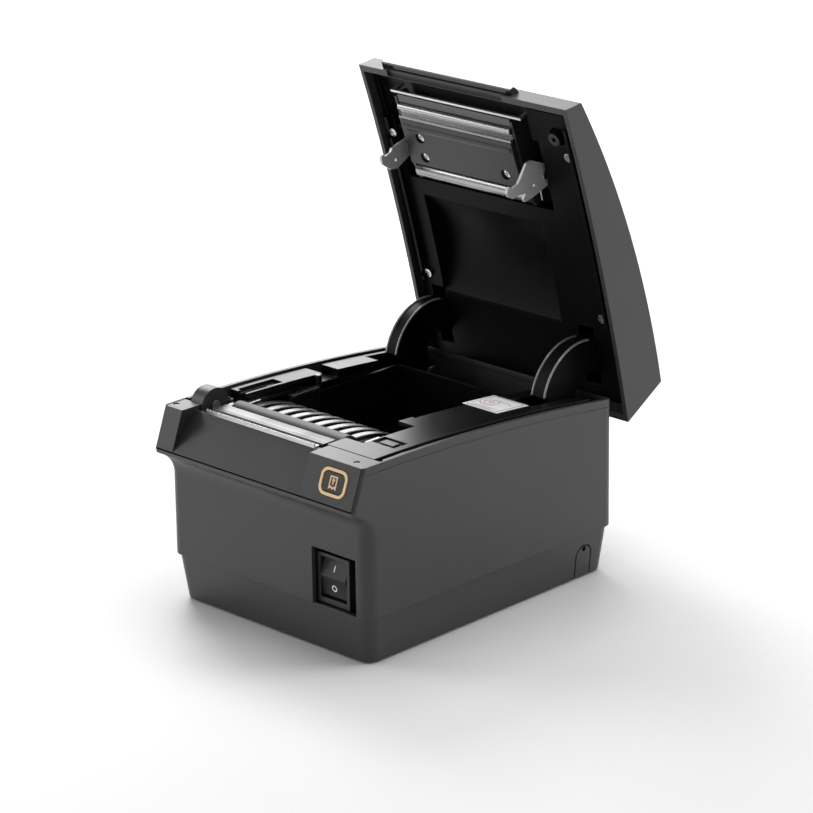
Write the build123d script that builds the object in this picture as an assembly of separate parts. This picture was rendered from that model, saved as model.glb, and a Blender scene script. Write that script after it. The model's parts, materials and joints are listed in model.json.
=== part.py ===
from build123d import *
import os
from math import atan2, cos, degrees, hypot, pi, radians, sin, sqrt

# Counter receipt printer with its cover open. X runs to the right seen from the front, Y to the rear,
# Z up; the origin is the centre of the base's footprint on the table. Millimetres and degrees.

# ---- Overall sizes -------------------------------------------------------------------------------
body_width = 145.0
body_depth = 186.6
seam_height = 26.0          # parting line between the base tray and the upper case
foot_height = 1.2
wall = 2.5
edge_radius = 7.0           # vertical corners of the case and the tray
tray_foot_inset = 4.0       # the tray tapers in by this much down to its floor
tray_seam_inset = 1.3
fit_gap = 0.3               # between fixed pieces that only lie beside each other
move_gap = 0.5              # between pieces that move past each other

# The body's top edge, where the cover sits, is one shallow arc seen from the side.
mate_radius = 1366.0
mate_apex_y = -85.6
mate_apex_z = 108.15
mate_gap = 0.6

# ---- Hinge and cover -----------------------------------------------------------------------------
hinge_y = 86.3
hinge_z = 81.5
open_angle = 70.8
hinge_pin_radius = 1.75
running_clearance = 0.05    # radial, every shaft in its bore
barrel_radius = 3.9
cover_overhang = 1.0        # the cover is this much wider than the body on each side
cover_front_y = -94.0
crown_chamfer = 0.9
cover_front_top = 121.3     # height of the cover's upper front edge when shut
cover_crown_y = 12.0
cover_crown_z = 133.0
cover_rear_top_y = 86.0
cover_rear_top_z = 128.6
cover_rear_y = 92.6
lip_proud = 3.0             # the visor over the paper mouth stands out this far
liner_rise = 6.0            # the liner's flat flange lies this far above the mating edge
liner_wall = 2.0

# ---- Paper path ----------------------------------------------------------------------------------
paper_centre_x = -12.0
paper_width = 79.5
bin_width = 83.0
bin_wall = 1.5
roll_y = 16.0
roll_z = 69.5
bin_radius = 43.5
ramp_left = -58.8
ramp_right = 35.0
tear_bar_length = 79.0
tear_bar_y = -83.0

# ---- Front fascia --------------------------------------------------------------------------------
fascia_bottom_y = -102.9
fascia_bottom_z = 86.3
fascia_top_y = -94.8
fascia_top_z = 108.1
fascia_rear_y = -81.5
fascia_wall = 2.5
ramp_top_y = -84.6
ramp_top_z = 105.2
case_cheek = 1.1            # thickness of the case's side beside the fascia
overhang_start_z = 71.5     # the front wall begins to curve outwards here
nose_radius = 2.0           # the overhang's vertical corners, sharper than the wall's below it
nose_height = 2.2           # upright lip under the fascia
overhang_steps = 6

# ---- Feed button and power switch ---------------------------------------------------------------
button_width = 15.0
button_height = 11.0
button_corner = 3.0
button_ring = 1.6
button_travel = 0.8
button_x = 55.2
button_rise = 12.2          # centre of the button above the fascia's lower edge, along its face
switch_left = 33.0
switch_right = 64.0
switch_top = 57.0
switch_depth = 9.0
bezel_right = 56.0
bezel_top = 53.5
bezel_depth = 3.5           # the bezel's face lies this far behind the case's front
rocker_width = 17.6
rocker_height = 20.0
rocker_z = 40.6
rocker_swing = 14.0

# ---- Drive ---------------------------------------------------------------------------------------
gear_module = 0.8
platen_teeth = 17
transfer_teeth = 14
idler_teeth = 30
pinion_teeth = 12
gear_width = 3.0
gear_left = -64.6
gear_backlash = 0.12        # added to every centre distance
platen_y = -61.5
platen_z = 98.5
platen_radius = 7.5
platen_shaft_radius = 3.0
motor_radius = 15.4
motor_length = 22.0
chassis_left = -56.6
chassis_right = 32.0
chassis_sheet = 1.2
latch_pin_radius = 1.5

half_width = body_width / 2
half_depth = body_depth / 2
mate_centre_z = mate_apex_z - mate_radius
bin_left = paper_centre_x - bin_width / 2
bin_right = paper_centre_x + bin_width / 2
hinge_line = Axis((0, hinge_y, hinge_z), (1, 0, 0))
rear_corner_radius = mate_radius - hypot(hinge_y - mate_apex_y, hinge_z - mate_centre_z)
rest = {}                   # node name to solid, in the cover-open pose


def mate_height(y):
    """Height of the body's top edge at a depth."""
    return mate_centre_z + sqrt(mate_radius ** 2 - (y - mate_apex_y) ** 2)


def block(x0, x1, y0, y1, z0, z1):
    """A box between two corners."""
    return Pos((x0 + x1) / 2, (y0 + y1) / 2, (z0 + z1) / 2) * Box(x1 - x0, y1 - y0, z1 - z0)


def rod(x0, x1, y, z, radius):
    """A round bar along X."""
    return Pos((x0 + x1) / 2, y, z) * Rot(0, 90, 0) * Cylinder(radius, x1 - x0)


def post(x, y, z0, z1, radius):
    """A round bar along Z."""
    return Pos(x, y, (z0 + z1) / 2) * Cylinder(radius, z1 - z0)


def side_plate(outline, x0, x1):
    """Extrudes a closed side view, a list of edges or of (y, z) corners, from x0 to x1."""
    if isinstance(outline[0], tuple):
        outline = [Polyline(*[(x0, y, z) for y, z in outline], close=True)]
    return extrude(make_face(outline), amount=x1 - x0, dir=(1, 0, 0))


def arc_slab(x0, x1, y0, y1, top, bottom):
    """A slab whose two faces follow the mating edge, lifted by top and bottom (minus is below)."""
    def point(y, lift):
        return (x0, y, mate_height(y) + lift)
    middle = (y0 + y1) / 2
    upper = ThreePointArc(point(y0, top), point(middle, top), point(y1, top))
    lower = ThreePointArc(point(y0, bottom), point(middle, bottom), point(y1, bottom))
    return side_plate([upper, Line(upper @ 1, lower @ 1), lower, Line(lower @ 0, upper @ 0)], x0, x1)


def rounded_prism(width, depth, z0, z1, radius, inset0=0.0, inset1=0.0):
    """An upright box with rounded corners whose sides may lean in."""
    low = Pos(0, 0, z0) * RectangleRounded(width - 2 * inset0, depth - 2 * inset0, radius)
    high = Pos(0, 0, z1) * RectangleRounded(width - 2 * inset1, depth - 2 * inset1, radius)
    return loft([low, high])


def opened(shape):
    """Turns a piece drawn with the cover shut to where it is with the cover open."""
    return shape.rotate(hinge_line, -open_angle)


def screw(x, y, z, radius, length, head_radius, head_height):
    """A pan-head screw standing on z, its shank pointing down, with a cross recess."""
    body = post(x, y, z - length, z, radius) + post(x, y, z, z + head_height, head_radius)
    slot = Pos(x, y, z + head_height) * Box(head_radius * 1.2, 0.5, head_height * 0.8)
    cross = Pos(x, y, z + head_height) * Box(0.5, head_radius * 1.2, head_height * 0.8)
    return body - slot - cross


def gear_outline(teeth):
    """Involute spur gear outline: 20 degree flanks of four points each, narrowed for backlash."""
    pitch = gear_module * teeth / 2
    base = pitch * cos(radians(20))
    tip = pitch + gear_module * 0.95
    root = pitch - gear_module * 1.2
    involute = lambda r: sqrt(max((r / base) ** 2 - 1, 0)) - atan2(sqrt(max((r / base) ** 2 - 1, 0)), 1)
    half_tooth = pi / (2 * teeth) - 0.045 / pitch + involute(pitch)
    start = max(base, root)
    radii = [start + (tip - start) * k / 3 for k in range(4)]
    points = []
    for tooth in range(teeth):
        middle = 2 * pi * tooth / teeth
        flank = [(r, half_tooth - involute(r)) for r in radii]
        points.append((root, middle - half_tooth))
        points += [(r, middle - a) for r, a in flank]
        points += [(r, middle + a) for r, a in reversed(flank)]
        points.append((root, middle + half_tooth))
    return [(r * cos(a), r * sin(a)) for r, a in points]


def gear(teeth, y, z, x0, x1, bore, turn):
    """A spur gear on an X axis with a bore, turned so that its teeth mesh."""
    outline = [(y + a * cos(turn) - b * sin(turn), z + a * sin(turn) + b * cos(turn))
               for a, b in gear_outline(teeth)]
    return side_plate(outline, x0, x1) - rod(x0 - 1, x1 + 1, y, z, bore)


# ---- Base -----------------------------------------------------------------------------------------

knockout_y = 71.5
knockout_half = 6.3
knockout_top = 19.5
bay_left = -54.0
bay_right = 58.0
bay_top = 42.0
bay_depth = 29.0
boss_places = [(-61.5, -73), (61.5, -73), (-61.5, 52), (61.5, 52)]
foot_places = [(-54, -76), (54, -76), (-54, 76), (54, 76)]
foot_radius = 6.0
boss_radius = 4.0
tray_floor_top = foot_height + wall


def base_tray():
    outer = rounded_prism(body_width, body_depth, foot_height, seam_height, edge_radius,
                          tray_foot_inset, tray_seam_inset)
    inner = rounded_prism(body_width - 2 * wall, body_depth - 2 * wall, tray_floor_top,
                          seam_height + 0.01, edge_radius - wall, tray_foot_inset, tray_seam_inset)
    tray = outer - inner
    tray -= block(bay_left, bay_right, half_depth - 12, half_depth + 1, tray_floor_top, seam_height + 1)
    for x, y in boss_places:
        tray += post(x, y, tray_floor_top - 0.5, seam_height - fit_gap, boss_radius)
        tray -= post(x, y, foot_height - 1, seam_height + 1, tray_screw_radius + 0.3)
        tray -= post(x, y, foot_height - 1, foot_height + tray_screw_sink, tray_screw_head + 0.4)
    for x, y in foot_places:
        tray -= post(x, y, 0, foot_height + 0.8, foot_radius + fit_gap)
    for k in range(8):
        x = -28 + 8 * k
        tray -= block(x - 1.2, x + 1.2, -20, 20, 0, seam_height / 2)
    # the cable exit on the right is scored most of the way through, with a finger hole at its crown
    slit = 0.9
    outside = knockout_arch(knockout_half) - knockout_arch(knockout_half - slit)
    tray -= outside
    tray -= rod(half_width - 12, half_width + 2, knockout_y, knockout_top - 2.6, 1.5)
    return tray


def knockout_arch(half):
    """A round-topped doorway that only bites into the outside of the right wall."""
    crown = knockout_top - knockout_half
    door = side_plate([(knockout_y - half, -1), (knockout_y + half, -1), (knockout_y + half, crown),
                       (knockout_y - half, crown)], half_width - 6, half_width + 2)
    door += rod(half_width - 6, half_width + 2, knockout_y, crown, half)
    face = rounded_prism(body_width - 3.2, body_depth - 3.2, foot_height - 2, seam_height + 1,
                         edge_radius, tray_foot_inset, tray_seam_inset)
    return door - face


tray_screw_radius = 1.4
tray_screw_head = 2.8
tray_screw_sink = 3.0
tray_screw_length = 20.0


def tray_screws():
    screws = []
    for x, y in boss_places:
        upright = screw(0, 0, 0, tray_screw_radius, tray_screw_length, tray_screw_head, 1.8)
        screws.append(Pos(x, y, foot_height + tray_screw_sink) * Rot(180, 0, 0) * upright)
    return Compound(children=screws)


def rubber_feet():
    feet = []
    for x, y in foot_places:
        foot = post(x, y, 0, foot_height + 0.8, foot_radius)
        feet.append(chamfer(foot.faces().sort_by(Axis.Z)[0].edges(), 0.5))
    return Compound(children=feet)


# ---- Upper case ----------------------------------------------------------------------------------

deck_inset = 8.0            # the channel between the case's rim and the decks
deck_drop = 1.0             # the decks lie this far below the rim
deck_wall = 2.2
ledge_drop = 8.6            # the ledge that carries the decks lies this far below the rim
ledge_width = 8.0
band_height = 4.0           # the lighter band along the top of the case's sides
band_groove = 0.6


def case_outline(inset):
    """Side view of the case without its front overhang, every face moved inwards by inset."""
    foot = (mate_apex_y + (hinge_y - mate_apex_y) * mate_radius / (mate_radius - rear_corner_radius),
            mate_centre_z + (hinge_z - mate_centre_z) * mate_radius / (mate_radius - rear_corner_radius))
    rear_y = half_depth - inset
    radius = rear_corner_radius - inset
    start = atan2(foot[1] - hinge_z, foot[0] - hinge_y)
    stop = atan2(sqrt(radius ** 2 - (rear_y - hinge_y) ** 2), rear_y - hinge_y)

    def around(angle):
        return (0, hinge_y + radius * cos(angle), hinge_z + radius * sin(angle))

    def along(y):
        return (0, y, mate_height(y) - inset)
    front_y = -half_depth + inset
    top = ThreePointArc(along(front_y), along((front_y + foot[0]) / 2), around(start))
    corner = ThreePointArc(around(start), around((start + stop) / 2), around(stop))
    floor_z = seam_height
    return [top, corner, Line(corner @ 1, (0, rear_y, floor_z)),
            Line((0, rear_y, floor_z), (0, front_y, floor_z)), Line((0, front_y, floor_z), top @ 0)]


def front_section(y, z, radius, inset):
    """Plan view of the front overhang at one height: a rounded rectangle that reaches forwards to y."""
    back = -half_depth + 30
    plan = RectangleRounded(2 * (half_width - inset), back - y - inset, max(radius - inset, 0.4))
    return Pos(0, (y + inset + back) / 2, z) * plan


def overhang(inset):
    """The front overhang: a hollow curve out to the fascia's foot, an upright lip, then the slope."""
    low_z = fascia_bottom_z - nose_height
    wall_y = -half_depth
    sections = []
    for k in range(overhang_steps + 1):
        t = k / overhang_steps
        # cubic curve that leaves the wall upright and arrives at the lip nearly level
        y = (wall_y * (1 - t) ** 3 + 3 * wall_y * t * (1 - t) ** 2
             + 3 * (wall_y - 3.0) * t ** 2 * (1 - t) + (fascia_bottom_y + 0.6) * t ** 3)
        z = (overhang_start_z * (1 - t) ** 3 + 3 * (overhang_start_z + 6.5) * t * (1 - t) ** 2
             + 3 * (low_z - 2.6) * t ** 2 * (1 - t) + low_z * t ** 3)
        sections.append(front_section(y, z, edge_radius + (nose_radius - edge_radius) * t, inset))
    foot = front_section(fascia_bottom_y, fascia_bottom_z, nose_radius, inset)
    top = front_section(fascia_top_y, fascia_top_z, nose_radius, inset)
    return loft(sections) + loft([sections[-1], foot], ruled=True) + loft([foot, top], ruled=True)


def case_solid(inset):
    """The case's outside, or its inside when inset is the wall."""
    width = half_width - inset
    tall = rounded_prism(2 * width, body_depth - 2 * inset, seam_height, mate_apex_z + 3,
                         edge_radius - inset)
    main = tall & Pos(-width, 0, 0) * side_plate(case_outline(inset), 0, 2 * width)
    return main + overhang(inset)


def upper_case():
    outer = case_solid(0)
    cavity = case_solid(wall)
    top_mouth = arc_slab(-half_width + wall, half_width - wall, fascia_rear_y - 4, hinge_y + 2.5, 5, -9)
    case = outer - cavity - top_mouth
    # the fascia drops into a pocket between two thin cheeks
    pocket_x = half_width - case_cheek
    pocket = side_plate([(fascia_bottom_y - 5, fascia_bottom_z + 0.0), (fascia_rear_y + 2, fascia_bottom_z),
                         (fascia_rear_y + 2, fascia_top_z + 5), (fascia_bottom_y - 5, fascia_top_z + 5)],
                        -pocket_x, pocket_x)
    case -= pocket
    # a ledge all round carries the decks
    for side, start in ((-1, platen_y + 10.5), (1, fascia_rear_y + 2)):
        low, high = sorted((side * (half_width - wall + 0.5), side * (half_width - wall - ledge_width)))
        case += arc_slab(low, high, start, 44, -ledge_drop, -ledge_drop - 2)
    case -= block(switch_left, switch_right, -half_depth - 1, -half_depth + wall + 1,
                  seam_height - 1, switch_top)
    case -= block(bay_left, bay_right, half_depth - wall - 1, half_depth + 1, seam_height - 1, bay_top)
    # the groove under the lighter band, cut as a thin step along both sides
    for side in (-1, 1):
        low, high = sorted((side * (half_width - 0.35), side * (half_width + 1)))
        case -= arc_slab(low, high, fascia_top_y - 20, half_depth + 1, -band_height,
                         -band_height - band_groove)
    for x, y in boss_places:
        boss = post(x, y, seam_height, seam_height + 16, boss_radius)
        boss -= post(x, y, seam_height - 1, seam_height + 12, tray_screw_radius - 0.25)
        case += boss
        reach = half_width - wall / 2
        case += block(min(x, reach * (1 if x > 0 else -1)), max(x, reach * (1 if x > 0 else -1)),
                      y - 1, y + 1, seam_height + 6, seam_height + 16) - post(x, y, 0, 60, boss_radius - 1)
    return case


def fascia_point(rise, depth):
    """A point on the fascia's slope: rise along it from its lower edge, depth behind it."""
    run = hypot(fascia_top_y - fascia_bottom_y, fascia_top_z - fascia_bottom_z)
    along_y = (fascia_top_y - fascia_bottom_y) / run
    along_z = (fascia_top_z - fascia_bottom_z) / run
    return (fascia_bottom_y + rise * along_y + depth * along_z,
            fascia_bottom_z + rise * along_z - depth * along_y)


fascia_lean = degrees(atan2(fascia_top_y - fascia_bottom_y, fascia_top_z - fascia_bottom_z))


def fascia_tool(width, height, radius, deep0, deep1):
    """A rounded square prism through the fascia where the feed button is."""
    plate = extrude(RectangleRounded(width, height, radius), amount=deep1 - deep0)
    y, z = fascia_point(button_rise, deep0)
    return Pos(button_x, y, z) * Rot(-90 - fascia_lean, 0, 0) * plate


def fascia():
    side = half_width - case_cheek - 0.35
    foot_z = fascia_bottom_z + 0.8
    foot_y = fascia_point(0.8, 0)[0]
    whole = side_plate([(foot_y, foot_z), (fascia_top_y, fascia_top_z - 0.2),
                        (fascia_rear_y, fascia_top_z - 0.2), (fascia_rear_y, foot_z)], -side, side)
    slope = (ramp_top_z - foot_z) / (ramp_top_y - foot_y)
    above = side_plate([(foot_y - 1, foot_z - slope), (ramp_top_y, ramp_top_z), (fascia_rear_y + 1, ramp_top_z),
                        (fascia_rear_y + 1, 130), (foot_y - 1, 130)], ramp_left, ramp_right)
    whole = whole - above
    # hollow behind: under the ramp, and inside each block
    drop = fascia_wall * sqrt(1 + slope ** 2)
    under = side_plate([(foot_y + fascia_wall * 1.9, foot_z - 1), (fascia_rear_y + 1, foot_z - 1),
                        (fascia_rear_y + 1, ramp_top_z - fascia_wall), (ramp_top_y, ramp_top_z - drop)],
                       ramp_left, ramp_right)
    whole = whole - under
    inner_y, inner_z = fascia_point(0, fascia_wall)
    top_y, top_z = fascia_point(hypot(fascia_top_y - fascia_bottom_y, fascia_top_z - fascia_bottom_z)
                                - fascia_wall, fascia_wall)
    block_hollow = [(inner_y + 0.3, foot_z - 1), (top_y, top_z), (fascia_rear_y - 0.0 + 1, top_z),
                    (fascia_rear_y + 1, foot_z - 1)]
    whole = whole - side_plate(block_hollow, -side + fascia_wall, ramp_left - fascia_wall)
    whole = whole - side_plate(block_hollow, ramp_right + fascia_wall, side - fascia_wall)
    frame = 2 * button_ring + 2 * fit_gap
    whole = whole - fascia_tool(button_width + frame, button_height + frame, button_corner + button_ring
                                + fit_gap, -3, fascia_wall + 2)
    for side in (-1, 1):
        whole += Pos(side * (button_width / 2 + button_ring + 1.9), 0, 0) * fascia_tool(1.8, 9, 0.4, fascia_wall - 0.5, switch_board_face)
    # light pipe wells in the two ledges
    for x in lens_places:
        whole = whole - post(x, lens_y, fascia_top_z - 5, fascia_top_z + 1, 1.6)
    guard = gear_module * (transfer_teeth / 2 + 1) + gear_cover_room + gear_cover_wall + fit_gap
    return whole - rod(gear_left - gear_cover_wall - 1.0, chassis_left, *transfer_centre, guard)


def feed_ring():
    """The bright frame round the feed button."""
    ring = fascia_tool(button_width + 2 * button_ring, button_height + 2 * button_ring,
                       button_corner + button_ring, -0.5, fascia_wall)
    return ring - fascia_tool(button_width, button_height, button_corner, -1, fascia_wall + 1)


def feed_button():
    button = fascia_tool(button_width - 2 * move_gap, button_height - 2 * move_gap, button_corner - move_gap,
                         -0.15, 2.3)
    return button + fascia_tool(4, 4, 1.0, 2.2, switch_face - button_travel - 0.15)


def feed_switch():
    """The small tact switch and its board behind the button."""
    board = fascia_tool(button_width + 9, 12, 1.0, switch_board_face, switch_board_face + 1.6)
    return board + fascia_tool(6, 6, 0.5, switch_face, switch_board_face + 0.1)


switch_face = 5.9           # behind the fascia's face
switch_board_face = 8.4


lens_places = (-69.0, 62.6)
lens_y = -89.5


def status_lenses():
    lenses = []
    for x in lens_places:
        lenses.append(post(x, lens_y, fascia_top_z - 4.5, fascia_top_z - 0.6, 1.4))
    return Compound(children=lenses)


def tear_bar():
    """A toothed steel strip on the ramp's top edge."""
    left = paper_centre_x - tear_bar_length / 2
    bar = block(left, left + tear_bar_length, tear_bar_y - 1.4, tear_bar_y + 2.0, ramp_top_z, ramp_top_z + 0.9)
    bar += block(left, left + tear_bar_length, tear_bar_y - 1.4, tear_bar_y - 0.4, ramp_top_z + 0.8,
                 ramp_top_z + 2.4)
    teeth = 39
    pitch = tear_bar_length / teeth
    for k in range(teeth):
        notch = extrude(make_face(Polyline((-pitch / 2, 0, 1.0), (0, 0, -0.1), (pitch / 2, 0, 1.0), close=True)),
                        amount=4, dir=(0, 1, 0))
        bar -= Pos(left + pitch * (k + 0.5), tear_bar_y - 3, ramp_top_z + 1.5) * notch
    return bar


def guide_strip():
    """The textured metal lip between the tear bar and the platen."""
    left = paper_centre_x - tear_bar_length / 2 - 1
    right = paper_centre_x + tear_bar_length / 2 + 1
    return side_plate([(-79.6, ramp_top_z - 1.2), (-70.4, ramp_top_z + 0.2), (-70.4, ramp_top_z + 1.2),
                       (-78.9, ramp_top_z + 1.2), (-79.6, ramp_top_z + 0.6)], left, right)


# ---- Chassis and paper guide ---------------------------------------------------------------------

chassis_front = -79.0
chassis_rear = -36.0
chassis_floor = 41.0
latch_pin_y = -54.4
latch_pin_z = 92.4
left_pin_y = -50.0           # the left lever is shorter, so its pin stands higher
left_pin_z = 98.6


def chassis():
    """Folded steel frame: two cheeks joined by a floor and a front web."""
    outline = [(chassis_front, chassis_floor), (chassis_rear, chassis_floor), (chassis_rear, 80),
               (chassis_rear - 6, 101.0), (platen_y + 9.5, 101.0), (platen_y + 9.5, 99.0),
               (platen_y - 9.0, 99.0), (platen_y - 9.0, 103.6), (chassis_front, 103.6)]
    frame = side_plate(outline, chassis_left, chassis_left + chassis_sheet)
    frame += side_plate(outline, chassis_right - chassis_sheet, chassis_right)
    frame += block(chassis_left, chassis_right, chassis_front, chassis_rear, chassis_floor,
                   chassis_floor + chassis_sheet)
    frame += block(chassis_left, chassis_right, chassis_front, chassis_front + chassis_sheet,
                   chassis_floor, 103.6)
    frame -= rod(chassis_left - 5, chassis_right + 5, platen_y, platen_z, bearing_radius + fit_gap / 3)
    frame -= block(chassis_left - 5, chassis_right + 5, platen_y - bearing_radius - 0.1,
                   platen_y + bearing_radius + 0.1, platen_z, 110)
    for y, z in (idler_centre, motor_centre):
        frame -= rod(chassis_left - 5, chassis_left + 3, y, z, 4.6 if z == motor_centre[1] else stud_radius)
    return frame


bearing_radius = 5.0
stud_radius = 1.5


def centre_distance(a, b):
    return gear_module * (a + b) / 2 + gear_backlash


transfer_angle = radians(150)
transfer_centre = (platen_y + centre_distance(platen_teeth, transfer_teeth) * cos(transfer_angle),
                   platen_z + centre_distance(platen_teeth, transfer_teeth) * sin(transfer_angle))
idler_centre = (platen_y, platen_z - centre_distance(platen_teeth, idler_teeth))
motor_centre = (platen_y, idler_centre[1] - centre_distance(idler_teeth, pinion_teeth))


def platen_bearings():
    bushes = []
    for x0, x1 in ((chassis_left - 1.6, chassis_left + chassis_sheet + 0.6),
                   (chassis_right - chassis_sheet - 0.6, chassis_right + 1.6)):
        bush = rod(x0, x1, platen_y, platen_z, bearing_radius)
        bushes.append(bush - rod(x0 - 1, x1 + 1, platen_y, platen_z, platen_shaft_radius + running_clearance))
    return Compound(children=bushes)


def platen_roller():
    left = paper_centre_x - paper_width / 2 - 0.5
    right = paper_centre_x + paper_width / 2 + 0.5
    return rod(left, right, platen_y, platen_z, platen_radius) - rod(left - 1, right + 1, platen_y, platen_z,
                                                                   platen_shaft_radius)


def platen_shaft():
    shaft = rod(gear_left - 0.8, chassis_right + 3.2, platen_y, platen_z, platen_shaft_radius)
    flat = block(gear_left - 2, gear_left + gear_width, platen_y - 4, platen_y + 4, platen_z + 2.4, platen_z + 4)
    return shaft - flat


def platen_gear():
    wheel = gear(platen_teeth, platen_y, platen_z, gear_left, gear_left + gear_width, platen_shaft_radius, 0)
    flat = block(gear_left, gear_left + gear_width, platen_y - 2, platen_y + 2, platen_z + 2.4, platen_z + 3.2)
    return wheel + flat


def mesh_turn(own_teeth, other_teeth, angle, other_turn):
    """Turn that puts a gap of this gear where the other gear has a tooth, seen along the line of centres."""
    phase = (angle - other_turn) * other_teeth
    return angle + pi - (pi - phase) / own_teeth


def transfer_gear():
    turn = mesh_turn(transfer_teeth, platen_teeth, transfer_angle, 0)
    return gear(transfer_teeth, *transfer_centre, gear_left, gear_left + gear_width,
                stud_radius + running_clearance, turn)


def idler_turn():
    return mesh_turn(idler_teeth, platen_teeth, -pi / 2, 0)


def idler_gear():
    return gear(idler_teeth, *idler_centre, gear_left, gear_left + gear_width,
                stud_radius + running_clearance, idler_turn())


def motor_pinion():
    turn = mesh_turn(pinion_teeth, idler_teeth, -pi / 2, idler_turn())
    wheel = gear(pinion_teeth, *motor_centre, gear_left, gear_left + gear_width, 1.0, turn)
    return wheel + rod(gear_left, chassis_left + 6, *motor_centre, 1.4)


stud_boss_radius = 3.0


def gear_studs():
    """Fixed axles of the idler and of the transfer gear, with their flanges."""
    low = rod(gear_left - 0.8, chassis_left + chassis_sheet, *idler_centre, stud_radius)
    low += rod(chassis_left - 1.6, chassis_left, *idler_centre, 3.2)
    low += rod(gear_left - 0.8, gear_left - 0.3, *idler_centre, 2.4)
    high = rod(gear_left - 0.8, chassis_left - 0.4, *transfer_centre, stud_radius)
    high += rod(chassis_left - 1.8, chassis_left - 0.4, *transfer_centre, stud_boss_radius)
    high += rod(gear_left - 0.8, gear_left - 0.3, *transfer_centre, 2.4)
    return Compound(children=[low, high])


gear_cover_wall = 1.0
gear_cover_room = 2.4        # between the transfer gear's tips and the cover's inside


def gear_cover():
    """Round-topped guard over the transfer gear, which stands up behind the left block."""
    y, z = transfer_centre
    inner = gear_module * (transfer_teeth / 2 + 1) + gear_cover_room
    outer = inner + gear_cover_wall
    left = gear_left - gear_cover_wall - 0.9
    right = chassis_left - 1.2
    guard = rod(left, right, y, z, outer) - rod(left + gear_cover_wall, right - gear_cover_wall, y, z, inner)
    guard -= block(left - 1, right + 1, y - 20, y + 20, z - 30, z - 1.5)
    guard -= rod(right - gear_cover_wall - 1, right + 1, y, z, stud_boss_radius + fit_gap)
    reach = rod(left, right + 1, platen_y, platen_z, gear_module * (platen_teeth / 2 + 1) + 0.8)
    return guard - reach


def stepper_motor():
    can = rod(chassis_left + chassis_sheet + 0.2, chassis_left + chassis_sheet + 0.2 + motor_length,
              *motor_centre, motor_radius)
    x0 = chassis_left + chassis_sheet + 0.2
    flange = block(x0, x0 + 1.2, motor_centre[0] - 5, motor_centre[0] + 5,
                   motor_centre[1] - 3, motor_centre[1] + 3)
    bore = rod(x0 - 1, chassis_left + 8, *motor_centre, 1.9)
    return can + flange - bore - block(x0 - 1, x0 + 40, -90, -30, 0, chassis_floor + chassis_sheet + 0.2)


def latch_pins():
    """Two steel catches outside the chassis cheeks that the cover's hooks take hold of."""
    left = rod(chassis_left - 4.4, chassis_left, left_pin_y, left_pin_z, latch_pin_radius)
    right = rod(chassis_right, chassis_right + 9.0, latch_pin_y, latch_pin_z, latch_pin_radius)
    return Compound(children=[left, right])


rib_count = 9
rib_width = 4.4


def paper_guide():
    """Ribbed lip between the bin and the platen: a curved plate with fins that run front to back."""
    left = bin_left + 0.6
    right = bin_right - 2.2
    front = platen_y + platen_radius + 1.6
    rear = roll_y - bin_radius + 1.2
    top = platen_z + 3.4
    plate = side_plate([(front, top - 2.6), (front + 12, top - 3.8), (rear, top - 7.0),
                        (rear, top - 9.5), (front, top - 6.5)], left, right)
    for k in range(rib_count):
        x = left + (right - left) * (k + 0.5) / rib_count - rib_width / 2
        crest = ThreePointArc((x, front, top), (x, (front + rear) / 2, top - 1.2), (x, rear, top - 5.0))
        plate += side_plate([crest, Line(crest @ 1, (x, rear, top - 9)), Line((x, rear, top - 9), (x, front, top - 6)),
                             Line((x, front, top - 6), crest @ 0)], x, x + rib_width)
    return plate


def paper_bin():
    """Open tub for the roll: a half-round floor, straight upper walls and two flat ends."""
    rear = roll_y + bin_radius
    front = roll_y - bin_radius
    top = 5.0

    def tub(grow, x0, x1, height):
        wide = bin_radius + grow
        shape = rod(x0, x1, roll_y, roll_z, wide) & block(x0, x1, -200, 200, 0, roll_z)
        return shape + block(x0, x1, roll_y - wide, roll_y + wide, roll_z - 0.01, height)
    rim_z = mate_height(rear) - top
    outer = tub(bin_wall, bin_left - bin_wall, bin_right + bin_wall, rim_z)
    inner = tub(0, bin_left, bin_right, rim_z + 12)
    shell = outer - inner
    # the front wall is cut down to let the paper climb over the ribbed guide
    shell -= block(bin_left, bin_right, front - 5, front + 3, platen_z - 8.5, 130)
    return shell


def near_end_sensor():
    """Low-paper feeler block on the bin's left wall."""
    x0 = bin_left + 0.2
    arm = block(x0, x0 + 3.0, -24, -3, 98.0, 99.6)
    knob = post(x0 + 1.6, -3.6, 95.0, 106.0, 1.6)
    return arm + knob + block(x0, x0 + 1.2, -24, -3, 88, 98.2)


# ---- Decks ----------------------------------------------------------------------------------------

arm_left = 43.0
arm_right = 53.0
left_arm_left = -64.0
left_arm_right = -55.4
arm_slot_front = 45.6
deck_rear = 82.5
label_size = 24.5


def right_deck():
    """Lid over the electronics, with a skirt, a sunk sensor window and the hook's slot."""
    x0 = bin_right + bin_wall + 0.5
    x1 = half_width - deck_inset
    y0 = fascia_rear_y + 2.2
    deck = arc_slab(x0, x1, y0, deck_rear, -deck_drop, -deck_drop - deck_wall)
    deck += arc_slab(x1 - 1.6, x1, y0, deck_rear, -deck_drop, -ledge_drop)
    deck += arc_slab(x0, x0 + 1.4, -20, deck_rear, -deck_drop, -ledge_drop - 7)
    deck += arc_slab(x0 + 8, x1, y0, y0 + 1.6, -deck_drop, -ledge_drop)
    deck -= block(arm_left - 1.0, arm_right + 4.0, arm_slot_front, deck_rear + 5, 70, 120)
    deck -= block(x0 - 1, x0 + hook_slot_width, hook_slot_front, hook_slot_rear, 70, 120)
    window = arc_slab(sensor_x - 8, sensor_x + 8, sensor_y - 5, sensor_y + 5, 2, -deck_drop - 1.2)
    deck -= window
    # a step down to the bin's edge
    deck -= arc_slab(x0 - 1, x0 + 3.5, -18, deck_rear + 1, 2, -deck_drop - 1.0)
    return deck


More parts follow.
